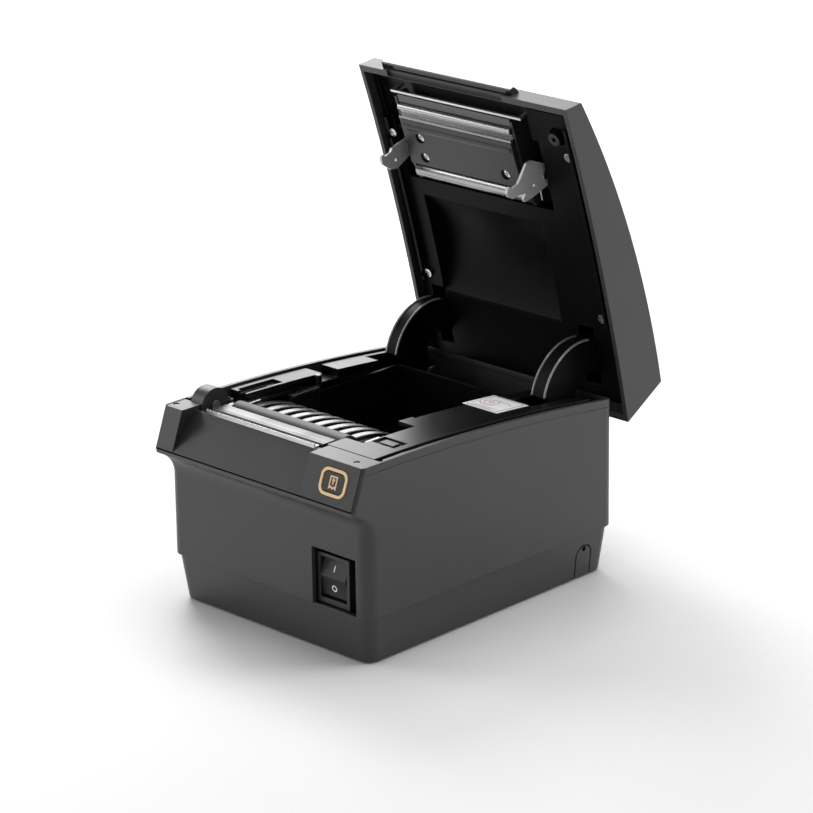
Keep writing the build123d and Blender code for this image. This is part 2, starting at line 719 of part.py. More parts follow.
hook_slot_width = 12.0
hook_slot_front = -66.0
hook_slot_rear = -28.0
sensor_x = 52.5
sensor_y = -56.0


def cover_sensor():
    """Optical cover sensor in the deck's sunk window."""
    return block(sensor_x - 4.5, sensor_x + 4.5, sensor_y - 2.6, sensor_y + 2.6,
                 mate_height(sensor_y) - deck_drop - 1.15, mate_height(sensor_y) - deck_drop - 0.2)


def left_deck():
    """Left rail: a lid with a long sunk well, a lowered notch and a raised rear rail."""
    x0 = -half_width + deck_inset - 3.5
    x1 = bin_left - bin_wall - 0.5
    y0 = platen_y + 9.5
    deck = arc_slab(x0, x1, y0, deck_rear, -deck_drop, -deck_drop - deck_wall)
    deck += arc_slab(x0, x0 + 1.6, y0, deck_rear, -deck_drop, -ledge_drop)
    deck -= arc_slab(x0 + 3.0, x1 - 1.8, well_front, well_rear, 5, -deck_drop - deck_wall - 1)
    deck -= arc_slab(x0 - 1, x1 + 1, notch_front, notch_rear, 5, -deck_drop - deck_wall - 1)
    deck += arc_slab(x0, x1, notch_front - 1, notch_rear + 1, -5.8, -5.8 - deck_wall)
    deck += arc_slab(x0, x1, notch_front - 1.5, notch_front, -deck_drop, -7)
    deck += arc_slab(x0, x1, notch_rear, notch_rear + 1.5, -deck_drop, -7)
    deck -= block(left_arm_left - 1.2, left_arm_right + 1.2, arm_slot_front, deck_rear + 5, 70, 120)
    # floor of the well, open at the front for the hook
    deck += arc_slab(x0 + 2.0, x1, well_front - 1, well_rear + 1, -deck_drop - deck_wall + 0.4,
                     -deck_drop - deck_wall - 1.2)
    return deck - block(hook_left_x - 1.8, hook_left_x + hook_thickness + 2.0, y0 - 1, latch_y + 12.5, 70, 120)


well_front = -50.0
well_rear = -24.0
notch_front = 3.0
notch_rear = 15.0


def deck_label():
    x1 = arm_right + 2.5
    return arc_slab(x1 - label_size, x1, arm_slot_front - 1.2 - label_size, arm_slot_front - 1.2,
                    -deck_drop + 0.15, -deck_drop)


# ---- Power switch ---------------------------------------------------------------------------------

def switch_pocket():
    """Five-sided box behind the opening in the case's front wall."""
    front = -half_depth + wall + 0.3
    back = -half_depth + switch_depth
    x0 = switch_left - wall
    x1 = switch_right + wall
    outer = block(x0, x1, front, back + 1.6, seam_height - 2.4, switch_top + wall)
    inner = block(switch_left, switch_right, front - 1, back, seam_height - 0.8, switch_top)
    rim_y = -half_depth + tray_seam_inset + wall + 1.2
    tray_rim = block(x0 - 1, x1 + 1, front - 1, rim_y, 0, seam_height + 0.3)
    body_hole = block(switch_left + 1.0, bezel_right - 1.0, front, back + 3, 28.0, bezel_top - 1.5)
    return outer - inner - tray_rim - body_hole


def switch_bezel():
    front = -half_depth + bezel_depth
    back = -half_depth + switch_depth
    outer = block(switch_left + fit_gap, bezel_right, front, back, seam_height + 0.6, bezel_top)
    outer += block(switch_left + 1.3, bezel_right - 1.3, back - 0.2, back + 13, 28.3, bezel_top - 1.8)
    x_mid = (switch_left + fit_gap + bezel_right) / 2
    well = block(x_mid - rocker_width / 2 - move_gap, x_mid + rocker_width / 2 + move_gap, front - 1, back + 9,
                 rocker_z - rocker_height / 2 - move_gap - 0.6, rocker_z + rocker_height / 2 + move_gap + 0.6)
    reach = rocker_width / 2 + 1.8
    pivot = rod(x_mid - reach, x_mid + reach, rocker_axis_y(), rocker_z, 1.2 + running_clearance)
    return outer - well - pivot


def rocker_axis_y():
    return -half_depth + bezel_depth + 5.0


def power_rocker():
    x_mid = (switch_left + fit_gap + bezel_right) / 2
    front = -half_depth + bezel_depth
    lower = ThreePointArc((0, front + 1.4, rocker_z - rocker_height / 2),
                          (0, front + 0.9, rocker_z - rocker_height / 4), (0, front - 0.6, rocker_z + 0.8))
    upper = Line((0, front - 0.6, rocker_z + 0.8), (0, front + 3.0, rocker_z + rocker_height / 2))
    outline = [lower, upper, Line(upper @ 1, (0, front + 6.6, rocker_z + 5)),
               Line((0, front + 6.6, rocker_z + 5), (0, front + 6.6, rocker_z - 5)),
               Line((0, front + 6.6, rocker_z - 5), lower @ 0)]
    rocker = side_plate(outline, 0, rocker_width).translate((x_mid - rocker_width / 2, 0, 0))
    reach = rocker_width / 2 + 1.2
    return rocker + rod(x_mid - reach, x_mid + reach, rocker_axis_y(), rocker_z, 1.2)


# ---- Rear connector bay ---------------------------------------------------------------------------

panel_y = half_depth - bay_depth
port_z = 20.0
ports = {"dc_inlet": (-34.0, 7.0, 7.0, 11.0), "network_port": (-10.0, 8.2, 7.0, 13.0),
         "data_port": (12.0, 6.2, 5.8, 11.0), "drawer_port": (34.0, 6.8, 6.4, 12.0)}


def rear_panel():
    """L-shaped plate that closes the connector bay: an upright wall and a roof."""
    panel = block(-half_width + 9, half_width - 9, panel_y, panel_y + 1.8, tray_floor_top + 0.3, bay_top + 1.8)
    panel += block(bay_left - 6, bay_right + 6, panel_y, half_depth - wall - 0.3, bay_top + 0.2, bay_top + 2)
    for x, half_w, half_h, deep in ports.values():
        panel -= block(x - half_w - 0.2, x + half_w + 0.2, panel_y - 1, panel_y + 3,
                       port_z - half_h - 0.2, port_z + half_h + 0.2)
    for x, y in boss_places:
        panel -= post(x, y, 0, 60, boss_radius + 0.6)
    return panel


def port(name):
    """One connector: a block through the panel with its socket facing the rear."""
    x, half_w, half_h, deep = ports[name]
    body = block(x - half_w, x + half_w, panel_y - 9, panel_y + 4, port_z - half_h, port_z + half_h)
    if name == "dc_inlet":
        socket = Pos(x, panel_y + 4 - deep / 2, port_z) * Rot(90, 0, 0) * Cylinder(5.0, deep + 0.02)
        pins = Pos(x, panel_y + 4 - deep / 2, port_z) * Rot(90, 0, 0) * Cylinder(1.2, deep - 2)
        return body - socket + pins + block(x - 1.2, x + 1.2, panel_y - 8, panel_y + 0, port_z - 1, port_z + 1)
    body -= block(x - half_w + 1.2, x + half_w - 1.2, panel_y + 4 - deep, panel_y + 5,
                  port_z - half_h + 1.2, port_z + half_h - 1.2)
    if name != "data_port":
        body -= block(x - 2.4, x + 2.4, panel_y + 4 - deep, panel_y + 5, port_z - half_h - 1, port_z)
        return body
    return body + block(x - half_w + 2.6, x + half_w - 2.6, panel_y - 8, panel_y + 3, port_z - 1.2, port_z + 1.2)


board_z = 8.0
board_places = [(-24, -60), (62, -30), (-24, 46), (50, 46)]


def main_board():
    board = block(-30, 65, -66, panel_y - 10, board_z, board_z + 1.6)
    for x, y, w, d, h in ((2, -20, 18, 18, 2.2), (34, -30, 12, 20, 3.0), (40, 20, 24, 10, 8.0),
                          (-14, 14, 10, 14, 4.5), (14, -50, 30, 6, 7.0)):
        board += block(x - w / 2, x + w / 2, y - d / 2, y + d / 2, board_z + 1.5, board_z + 1.6 + h)
    for x, y in ((52, 0), (52, -14), (8, 8)):
        board += post(x, y, board_z + 1.5, board_z + 12, 5)
    for x, y in boss_places:
        board -= post(x, y, 0, 40, boss_radius + 0.6)
    for x, y in board_places:
        board -= post(x, y, 0, 40, 1.2)
    return board


def board_spacers():
    return Compound(children=[post(x, y, tray_floor_top, board_z, 3.0) - post(x, y, 0, 20, 1.2)
                              for x, y in board_places])


# ---- Hinge ----------------------------------------------------------------------------------------

def arm_spans():
    return ((left_arm_left, left_arm_right), (arm_left, arm_right))


def hinge_pins():
    pins = [rod(x0 - 3.0, x1 + 3.0, hinge_y, hinge_z, hinge_pin_radius) for x0, x1 in arm_spans()]
    return Compound(children=pins)


def hinge_brackets():
    """Pairs of steel ears that carry the hinge pins, screwed down behind the bin."""
    ears = []
    for x0, x1 in arm_spans():
        for a, b in ((x0 - 3.0, x0 - 1.0), (x1 + 1.0, x1 + 3.0)):
            ear = side_plate([(80.5, bay_top + 2.4), (90.4, bay_top + 2.4), (90.4, 85), (88.5, 87.5),
                              (83.5, 87.5), (80.5, 84)], a, b)
            ears.append(ear - rod(a - 1, b + 1, hinge_y, hinge_z, hinge_pin_radius))
        foot = block(x0 - 3.0, x1 + 3.0, 80.5, 90.4, bay_top + 2.4, bay_top + 4.0)
        ears.append(foot)
    return Compound(children=[ears[0] + ears[1] + ears[2], ears[3] + ears[4] + ears[5]])


def hinge_arm(x0, x1, rim):
    """Goose-neck arm drawn with the cover shut: it leaves its barrel forwards and climbs to the cover."""
    foot = (49.0, mate_height(49.0) + 1.5)
    top = (56.0, 124.6)
    front = ThreePointArc((0, 60.2, 62.8), (0, 47.2, 79.5), (0, *foot))
    neck = Line(front @ 1, (0, *top))
    cap = Line((0, *top), (0, 74.0, 126.0))
    back = Line((0, 74.0, 126.0), (0, 70.0, 104.0))
    inner = ThreePointArc((0, 70.0, 104.0), (0, 67.5, 88.0), (0, hinge_y - 1.0, hinge_z + barrel_radius - 0.2))
    low = Line((0, hinge_y - 1.0, hinge_z + barrel_radius - 0.2), (0, hinge_y - 1.0, hinge_z - barrel_radius + 0.2))
    under = Line((0, hinge_y - 1.0, hinge_z - barrel_radius + 0.2), front @ 0)
    arm = Pos(x0, 0, 0) * side_plate([front, neck, cap, back, inner, low, under], 0, x1 - x0)
    arm += rod(x0, x1, hinge_y, hinge_z, barrel_radius)
    arm -= rod(x0 - 1, x1 + 1, hinge_y, hinge_z, hinge_pin_radius + running_clearance)
    lighten = Pos(x0 + rim, 0, 0) * side_plate([(60, 70), (70, 79), (62, 84), (60, 96), (62, 118), (57, 118),
                                                (53.5, 100), (52, 84)], 0, x1 - x0 - 2 * rim)
    return arm - lighten


# ---- Cover ----------------------------------------------------------------------------------------

def cover_outline(inset, foot_lift):
    """Side view of the shut cover, its outer faces moved in by inset, its foot lifted off the mate."""
    def along(y, lift=foot_lift):
        return (0, y, mate_height(y) + lift)
    front_y = cover_front_y + inset
    rear_y = cover_rear_y - inset
    foot = ThreePointArc(along(front_y), along(0), along(rear_y))
    front_top = (0, front_y + 2.6, cover_front_top - inset)
    rear_top = (0, cover_rear_top_y - inset, cover_rear_top_z - inset)
    crown = ThreePointArc(front_top, (0, cover_crown_y, cover_crown_z - inset), rear_top)
    return [foot, Line(foot @ 1, rear_top), crown, Line(front_top, foot @ 0)]


def cover_shell():
    half = half_width + cover_overhang
    outer = Pos(-half, 0, 0) * side_plate(cover_outline(0, mate_gap), 0, 2 * half)
    top_edges = [e for e in outer.edges() if e.center().Z > cover_front_top - 2.0]
    outer = chamfer(top_edges, crown_chamfer)
    inner_half = half - wall
    cavity = Pos(-inner_half, 0, 0) * side_plate(cover_outline(wall, -8), 0, 2 * inner_half)
    shell = outer - cavity
    # the front wall is cut back over the paper mouth so that the slip can leave
    mouth = block(paper_centre_x - 41, paper_centre_x + 41, cover_front_y - 4, cover_front_y + wall + 1, 100,
                  mate_height(cover_front_y) + 2.4)
    return shell - mouth


def cover_visor():
    """Black strip along the cover's front edge, over the paper mouth."""
    foot = mate_height(cover_front_y)
    lean = 2.6 / (cover_front_top - foot - mate_gap)
    low = cover_front_y + lean * 2.6
    high = cover_front_y + lean * 8.4
    return side_plate([(low - 0.02, foot + 3.2), (high - 0.02, foot + 9.0), (cover_front_y - lip_proud + 1.6, foot + 7.6),
                       (cover_front_y - lip_proud, foot + 6.4), (cover_front_y - lip_proud, foot + 3.6),
                       (cover_front_y - lip_proud + 0.6, foot + 3.0)], ramp_left + 1.0, ramp_right - 1.0)


flange_left = -55.0
flange_right = 31.0


def cover_liner():
    """Inner moulding: one flange that follows the rim, with an arched roof over the paper roll."""
    edge = half_width + cover_overhang - wall - 0.15
    front = cover_front_y + wall + 6.2
    rear = cover_rear_y - wall - 3.4
    liner = arc_slab(-edge, edge, front, rear, liner_rise + liner_wall, liner_rise)
    liner -= block(flange_left, flange_right, roll_y - roof_span, roll_y + roof_span, 90, 130)
    liner -= block(hook_left_x - 3.0, hook_right_x + hook_thickness + 3.0, -66, mech_rear + 2, 90, 130)
    liner -= block(mech_left - 5.5, mech_right + 8.6, front - 1, -57, 90, 130)
    liner -= post(cutter_x, cutter_motor_y, 90, 130, 5.2)

    def spring_line(y, lift):
        return (0, y, mate_height(y) + liner_rise + lift)
    y0 = roll_y - roof_span - 1.0
    y1 = roll_y + roof_span + 1.0
    low = ThreePointArc(spring_line(y0, 0.5), (0, roll_y, roof_z), spring_line(y1, 0.5))
    high = ThreePointArc(spring_line(y0, 2.8), (0, roll_y, roof_z + liner_wall), spring_line(y1, 2.8))
    arch = [low, Line(low @ 1, high @ 1), high, Line(high @ 0, low @ 0)]
    end = [Line(low @ 0, low @ 1), Line(low @ 1, high @ 1), high, Line(high @ 0, low @ 0)]
    liner += side_plate(arch, 0, bin_width + 5).translate((flange_left - 1, 0, 0))
    for x in (flange_left - liner_wall, flange_right):
        liner += side_plate(end, 0, liner_wall).translate((x, 0, 0))
    for x in (-edge + 3.6, edge - 5.4):
        liner += arc_slab(x, x + 1.8, front + 6, arm_slot_front - 6, liner_rise + 0.5, liner_rise - 3.6)
    liner -= block(gear_left - 3.1, mech_left, front - 1, platen_y, 90, 130)
    for x0, x1 in arm_spans():
        liner -= block(x0 - 0.4, x1 + 0.4, 44, 79, 90, 127)
    for x, y in liner_screw_places:
        liner -= post(x, y, 100, 130, 1.4)
        liner -= post(x, y, 100, mate_height(y) + liner_rise + 0.1, 2.9)
    return liner


roof_span = 30.0
roof_z = 119.5
cutter_x = 57.5
cutter_motor_y = -72.0
mech_rear = -26.0
liner_screw_places = [(-66.0, -51.0), (62.5, -61.0), (-64.0, 36.0), (62.5, 36.0)]


def cover_screws():
    screws = []
    for x, y in liner_screw_places:
        flipped = Rot(180, 0, 0) * screw(0, 0, 0, 1.2, 5.0, 2.6, 1.5)
        screws.append(Pos(x, y, mate_height(y) + liner_rise - 0.1) * flipped)
    return Compound(children=screws)


# ---- Print mechanism in the cover, drawn with the cover shut -------------------------------------

mech_left = -51.5
mech_right = 29.5
head_front = -66.5
head_rear = -36.5
head_face = platen_z + platen_radius + 0.4


def head_bracket():
    """Folded plate that carries the head, with end ears for the latch shaft."""
    plate = block(mech_left, mech_right, head_front + 3.2, head_rear, head_face + 3.0, head_face + 4.4)
    for x0, x1 in ((mech_left - 1.6, mech_left), (mech_right, mech_right + 1.6)):
        plate += side_plate([(-78, head_face + 3.0), (head_rear, head_face + 3.0), (mech_rear, head_face + 5.0),
                             (mech_rear, 121), (-70, 121), (-78, 118)], x0, x1)
    plate += block(mech_left - 1.6, mech_right + 1.6, -70, -36, 119.4, 121)
    plate -= rod(mech_left - 5, mech_right + 5, latch_y, latch_z, latch_shaft_radius + running_clearance)
    for x, y in head_screw_places:
        plate -= post(x, y, 100, 118, 1.3)
    return plate


def thermal_head():
    """Ceramic board with its raised heating line over the platen."""
    head = block(mech_left + 0.6, mech_right - 0.6, head_front + 0.5, head_rear - 2.0, head_face + 0.5,
                 head_face + 2.9)
    head += side_plate([(platen_y - 2.2, head_face + 0.6), (platen_y - 0.9, head_face),
                        (platen_y + 0.9, head_face), (platen_y + 2.2, head_face + 0.6)],
                       mech_left + 2, mech_right - 2)
    for x, y in head_screw_places:
        head -= post(x, y, 100, 118, 3.0)
    return head


head_screw_places = [(-39.5, -55.5), (-39.5, -43.5), (19.0, -45.0)]


def head_screws():
    screws = []
    for x, y in head_screw_places:
        flipped = Rot(180, 0, 0) * screw(0, 0, 0, 1.1, 3.0, 2.4, 1.3)
        screws.append(Pos(x, y, head_face + 3.0) * flipped)
    return Compound(children=screws)


def heat_sink():
    """Bright extrusion along the head's front edge: a round nose, a web and a lip against the head."""
    left = mech_left + 0.4
    right = mech_right - 0.4
    bar = rod(left, right, nose_bar_y, nose_bar_z, nose_bar_radius)
    bar += block(left, right, nose_bar_y, head_front + 0.2, nose_bar_z - 0.2, nose_bar_z + 1.2)
    return bar + block(left, right, head_front - 1.2, head_front + 0.2, head_face + 0.6, nose_bar_z + 6)


nose_bar_y = -72.2
nose_bar_z = 109.4
nose_bar_radius = 1.9
blade_front = -77.5
blade_z = 112.4


def cutter_blade():
    """Sliding blade with a shallow V edge towards the paper mouth."""
    left = mech_left + 1.5
    right = mech_right - 1.5
    middle = (left + right) / 2
    outline = Polyline((left, blade_front), (middle, blade_front + 2.2), (right, blade_front), (right, -69.3),
                       (left, -69.3), close=True)
    return extrude(Pos(0, 0, blade_z) * make_face(outline), amount=0.9)


def blade_guide():
    """Black channel under the blade, with a rail up each end."""
    guide = block(mech_left + 0.4, mech_right - 0.4, -79.0, nose_bar_y - nose_bar_radius - 0.4, blade_z - 2.6,
                  blade_z - 0.5)
    guide += block(mech_left + 0.4, mech_left + 0.9, -79.0, -69.0, blade_z - 0.6, blade_z + 2.4)
    return guide + block(mech_right - 0.9, mech_right - 0.4, -79.0, -69.0, blade_z - 0.6, blade_z + 2.4)


def front_guard():
    """Thin bright bar in front of the cutter, held up by a leg at each end."""
    left = mech_left - 4.0
    right = mech_right + 8.0
    guard = block(left, right, -81.2, -79.9, blade_z - 2.4, blade_z - 1.0)
    for x in (left, right - 2.4):
        guard += block(x, x + 2.4, -81.2, -79.9, blade_z - 1.2, 118.4)
    return guard


def guide_bar():
    """Rounded lower bar that steers the paper over the platen's rear."""
    return rod(mech_left + 0.1, mech_right - 0.1, head_rear + 5.0, head_face + 6.2, 4.4)


def cutter_motor():
    """Flat motor above the liner, with a hand wheel that stands in a hole of the liner."""
    y = cutter_motor_y
    can = post(cutter_x, y, 117.0, 119.6, 6.4) + block(cutter_x - 16, cutter_x, y - 4, y + 4, 117.4, 119.4)
    wheel = post(cutter_x, y, 110.6, 117.2, 3.6) - post(cutter_x, y, 110, 113.4, 1.3)
    return can + wheel


latch_y = -44.0
latch_z = 115.4
latch_shaft_radius = 2.0
hook_thickness = 1.6
pin_gap = 0.45               # between a hook's nose and its pin
hook_right_x = 37.6
hook_left_x = -60.6


def latch_shaft():
    return rod(hook_left_x - 0.8, hook_right_x + hook_thickness + 0.8, latch_y, latch_z, latch_shaft_radius)


def hook_plate(x0):
    """Broad sheet hook: an eye round the shaft, a shoulder in front and a nose behind the catch pin."""
    throat_y = latch_pin_y + latch_pin_radius + 2.4
    nose_y = latch_pin_y + latch_pin_radius + pin_gap
    nose_z = latch_pin_z - latch_pin_radius - 0.8
    outline = [(latch_y - 2.0, latch_z + 4.6), (latch_y + 3.4, latch_z + 4.4), (latch_y + 6.0, latch_z + 0.8),
               (latch_y + 6.2, latch_z - 12.0), (latch_y + 5.4, latch_z - 18.4), (latch_y + 3.6, latch_z - 18.8),
               (latch_y + 1.4, latch_z - 16.2), (latch_y - 0.4, latch_z - 20.6), (latch_y - 1.0, nose_z - 0.4),
               (latch_y - 3.4, nose_z - 3.0), (nose_y + 2.6, nose_z - 3.6), (nose_y + 0.4, nose_z - 2.4),
               (nose_y, nose_z - 0.6), (nose_y + 0.5, nose_z), (throat_y, nose_z + 0.8),
               (throat_y, latch_pin_z + 3.2), (nose_y + 0.2, latch_pin_z + 5.8), (latch_y - 13.4, latch_z - 10.4),
               (latch_y - 12.6, latch_z - 6.0), (latch_y - 6.4, latch_z + 1.6)]
    plate = side_plate(outline, x0, x0 + hook_thickness) - rod(x0 - 1, x0 + 3, latch_y, latch_z, latch_shaft_radius)
    return plate - rod(x0 - 1, x0 + 3, latch_y + 0.6, latch_z - 9.6, 1.1)


def lever_plate(x0):
    """Narrow upright lever on the shaft's left end, with its own nose behind the left pin."""
    nose_y = left_pin_y + latch_pin_radius + pin_gap
    nose_z = left_pin_z - latch_pin_radius - 0.8
    throat_y = nose_y + 1.9
    outline = [(latch_y - 3.2, latch_z + 3.6), (latch_y + 2.6, latch_z + 4.0), (latch_y + 6.6, latch_z - 0.6),
               (latch_y + 8.6, latch_z - 12.6), (latch_y + 6.8, latch_z - 17.0), (nose_y + 5.0, nose_z - 2.6),
               (nose_y + 1.0, nose_z - 2.4), (nose_y, nose_z - 0.8), (nose_y + 0.5, nose_z), (throat_y, nose_z + 0.6),
               (throat_y, left_pin_z + 2.6), (nose_y + 0.3, left_pin_z + 4.6)]
    plate = side_plate(outline, x0, x0 + hook_thickness) - rod(x0 - 1, x0 + 3, latch_y, latch_z, latch_shaft_radius)
    return plate - rod(x0 - 1, x0 + 3, latch_y + 3.6, latch_z - 12.4, 1.1)


def latch_hooks():
    return Compound(children=[lever_plate(hook_left_x), hook_plate(hook_right_x)])


def latch_springs():
    """Torsion springs wound on the shaft inside each hook, each with one leg out to the rear."""
    springs = []
    for x0, x1 in ((hook_left_x + 2.2, hook_left_x + 6.4), (hook_right_x - 5.4, hook_right_x - 1.0)):
        coil = rod(x0, x1, latch_y, latch_z, 3.3) - rod(x0 - 1, x1 + 1, latch_y, latch_z, 2.2)
        for k in range(3):
            groove = x0 + (x1 - x0) * (k + 1) / 4
            coil -= rod(groove - 0.15, groove + 0.15, latch_y, latch_z, 4) - rod(groove - 1, groove + 1,
                                                                                 latch_y, latch_z, 2.9)
        leg = side_plate([(latch_y, latch_z - 3.2), (latch_y + 14, latch_z - 4.6), (latch_y + 14, latch_z - 3.8),
                          (latch_y, latch_z - 2.4)], x1 - 1.0, x1)
        springs.append(coil + (leg - rod(x0 - 1, x1 + 1, latch_y, latch_z, 2.2)))
    return Compound(children=springs)


# ---- All nodes ------------------------------------------------------------------------------------

fixed_nodes = {
    "base_tray": base_tray, "tray_screws": tray_screws, "rubber_feet": rubber_feet, "upper_case": upper_case,
    "fascia": fascia, "feed_ring": feed_ring, "feed_button": feed_button, "feed_switch": feed_switch,
    "status_lenses": status_lenses, "tear_bar": tear_bar, "guide_strip": guide_strip, "chassis": chassis,
    "platen_bearings": platen_bearings, "platen_roller": platen_roller, "platen_shaft": platen_shaft,
    "platen_gear": platen_gear, "transfer_gear": transfer_gear, "idler_gear": idler_gear,
    "motor_pinion": motor_pinion, "gear_studs": gear_studs, "gear_cover": gear_cover,
    "stepper_motor": stepper_motor, "latch_pins": latch_pins, "paper_guide": paper_guide,
    "paper_bin": paper_bin, "near_end_sensor": near_end_sensor, "right_deck": right_deck,
    "cover_sensor": cover_sensor, "left_deck": left_deck, "deck_label": deck_label,
    "switch_pocket": switch_pocket, "switch_bezel": switch_bezel, "power_rocker": power_rocker,
    "rear_panel": rear_panel, "main_board": main_board, "board_spacers": board_spacers,
    "hinge_pins": hinge_pins, "hinge_brackets": hinge_brackets,
}
cover_nodes = {
    "cover_shell": cover_shell, "cover_visor": cover_visor, "cover_liner": cover_liner, "cover_screws": cover_screws,
    "head_bracket": head_bracket, "thermal_head": thermal_head, "head_screws": head_screws,
    "heat_sink": heat_sink, "cutter_blade": cutter_blade, "blade_guide": blade_guide,
    "front_guard": front_guard, "guide_bar": guide_bar, "cutter_motor": cutter_motor,
    "latch_shaft": latch_shaft, "latch_hooks": latch_hooks, "latch_springs": latch_springs,
}

for name, build in fixed_nodes.items():
    rest[name] = build()
for name in ports:
    rest[name] = port(name)
for name, build in cover_nodes.items():
    rest[name] = opened(build())
rest["left_hinge_arm"] = opened(hinge_arm(left_arm_left, left_arm_right, 1.6))
rest["right_hinge_arm"] = opened(hinge_arm(arm_left, arm_right, 1.6))

os.makedirs("parts", exist_ok=True)
for name, shape in rest.items():
    export_step(shape, os.path.join("parts", name + ".step"))
print(len(rest), "nodes written")
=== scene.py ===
import json
import math
import bpy
import numpy as np
from mathutils import Matrix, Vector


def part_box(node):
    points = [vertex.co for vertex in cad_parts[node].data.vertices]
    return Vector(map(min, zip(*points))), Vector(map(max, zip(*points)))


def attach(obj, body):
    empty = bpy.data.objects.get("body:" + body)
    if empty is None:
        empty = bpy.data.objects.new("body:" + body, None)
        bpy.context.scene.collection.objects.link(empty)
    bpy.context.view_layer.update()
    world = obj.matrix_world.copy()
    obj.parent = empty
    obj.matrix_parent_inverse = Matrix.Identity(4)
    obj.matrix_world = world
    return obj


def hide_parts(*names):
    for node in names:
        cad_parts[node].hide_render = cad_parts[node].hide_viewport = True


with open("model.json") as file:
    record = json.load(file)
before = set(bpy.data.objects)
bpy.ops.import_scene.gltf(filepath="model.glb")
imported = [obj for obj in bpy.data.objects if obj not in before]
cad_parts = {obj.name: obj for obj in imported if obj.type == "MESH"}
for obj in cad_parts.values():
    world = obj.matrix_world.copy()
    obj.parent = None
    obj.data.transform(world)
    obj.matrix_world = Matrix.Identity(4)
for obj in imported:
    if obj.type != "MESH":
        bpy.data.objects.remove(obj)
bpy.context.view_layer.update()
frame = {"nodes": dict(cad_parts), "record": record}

scene = bpy.context.scene
nodes = frame["nodes"]
print("frame loaded:", len(nodes), "nodes")

# where the printer is seen from, lens and framing
view = {
    "turn": 44.2019,        # degrees round from the front, towards the right side
    "height": 19.149,       # degrees above the table
    "roll": -0.7587,
    "distance": 1.91307,
    "aside": 0.008628,      # the camera's centre line passes this far right of the origin
    "above": 0.096511,      # and this far above it
    "lens": 159.41,
    "shiftX": -0.00638,
    "shiftY": -0.0067,
    "sensor": 36,
    "nearest": 0.05,
    "farthest": 30,
}
sideways = np.array([1.0, 0.0, 0.0])    # the printer's own left to right


# stands a camera or lamp at a place, with its x, y and z along three directions
def stand(thing, right, up, back, place):
    matrix = np.eye(4)
    for column, direction in enumerate((right, up, back, place)):
        matrix[:3, column] = direction
    thing.matrix_world = Matrix(matrix.tolist())


def makeCamera():
    turn, height, roll = (math.radians(view[key]) for key in ("turn", "height", "roll"))
    back = np.array([math.sin(turn) * math.cos(height), -math.cos(turn) * math.cos(height),
                     math.sin(height)])
    level = np.array([math.cos(turn), math.sin(turn), 0.0])
    upright = np.cross(back, level)
    right = level * math.cos(roll) + upright * math.sin(roll)
    up = upright * math.cos(roll) - level * math.sin(roll)
    lensData = bpy.data.cameras.new("camera")
    lensData.sensor_width = view["sensor"]
    lensData.lens = view["lens"]
    lensData.shift_x = view["shiftX"]
    lensData.shift_y = view["shiftY"]
    lensData.clip_start = view["nearest"]
    lensData.clip_end = view["farthest"]
    camera = bpy.data.objects.new("camera", lensData)
    scene.collection.objects.link(camera)
    place = back * view["distance"] + right * view["aside"] + up * view["above"]
    stand(camera, right, up, back, place)
    scene.camera = camera


makeCamera()
print("camera placed")

# pale floor under soft panels; each lamp is (place, size, watts) and points at aimAt
studio = {
    "floorColour": (0.80, 0.80, 0.80),
    "floorRough": 0.9,
    "floorReach": 4.0,
    "skyColour": (1.0, 1.0, 1.0),
    "skyStrength": 0.17,
    "lamps": {
        "overhead": ((0.0, 0.2, 1.3), (1.3, 1.0), 12.0),
        "backLeftPanel": ((-1.15, 1.2, 0.62), (1.1, 0.8), 12.0),
        "highLeft": ((-1.05, 0.55, 1.15), (0.6, 0.6), 13.0),
        "leftBox": ((-1.5, -0.85, 0.65), (0.9, 1.1), 13.0),
        "rightBox": ((1.15, 1.2, 0.7), (0.9, 1.2), 12.0),
        "frontFill": ((-0.5, -1.7, 0.5), (0.8, 0.5), 3.0),
    },
    "aimAt": (0.0, 0.0, 0.09),
}


def makeStage():
    world = bpy.data.worlds.new("studio")
    scene.world = world
    world.use_nodes = True
    sky = world.node_tree.nodes["Background"]
    sky.inputs["Color"].default_value = (*studio["skyColour"], 1)
    sky.inputs["Strength"].default_value = studio["skyStrength"]
    reach = studio["floorReach"]
    mesh = bpy.data.meshes.new("floor")
    corners = [(-reach, -reach, 0), (reach, -reach, 0), (reach, reach, 0), (-reach, reach, 0)]
    mesh.from_pydata(corners, [], [(0, 1, 2, 3)])
    floor = bpy.data.objects.new("floor", mesh)
    scene.collection.objects.link(floor)
    paper = bpy.data.materials.new("floorPaper")
    paper.use_nodes = True
    shader = paper.node_tree.nodes["Principled BSDF"]
    shader.inputs["Base Color"].default_value = (*studio["floorColour"], 1)
    shader.inputs["Roughness"].default_value = studio["floorRough"]
    mesh.materials.append(paper)
    aim = np.array(studio["aimAt"])
    for name, (place, size, watts) in studio["lamps"].items():
        lamp = bpy.data.lights.new(name, "AREA")
        lamp.shape = "RECTANGLE"
        lamp.size, lamp.size_y = size
        lamp.energy = watts
        holder = bpy.data.objects.new(name, lamp)
        scene.collection.objects.link(holder)
        back = np.array(place) - aim
        back /= np.linalg.norm(back)
        side = np.cross([0, 0, 1], back)
        side /= np.linalg.norm(side)
        stand(holder, side, np.cross(back, side), back, place)


makeStage()
scene.view_settings.view_transform = "Standard"
print("stage lit")


def newMaterial(name):
    material = bpy.data.materials.new(name)
    material.use_nodes = True
    tree = material.node_tree
    return material, tree, tree.nodes["Principled BSDF"]


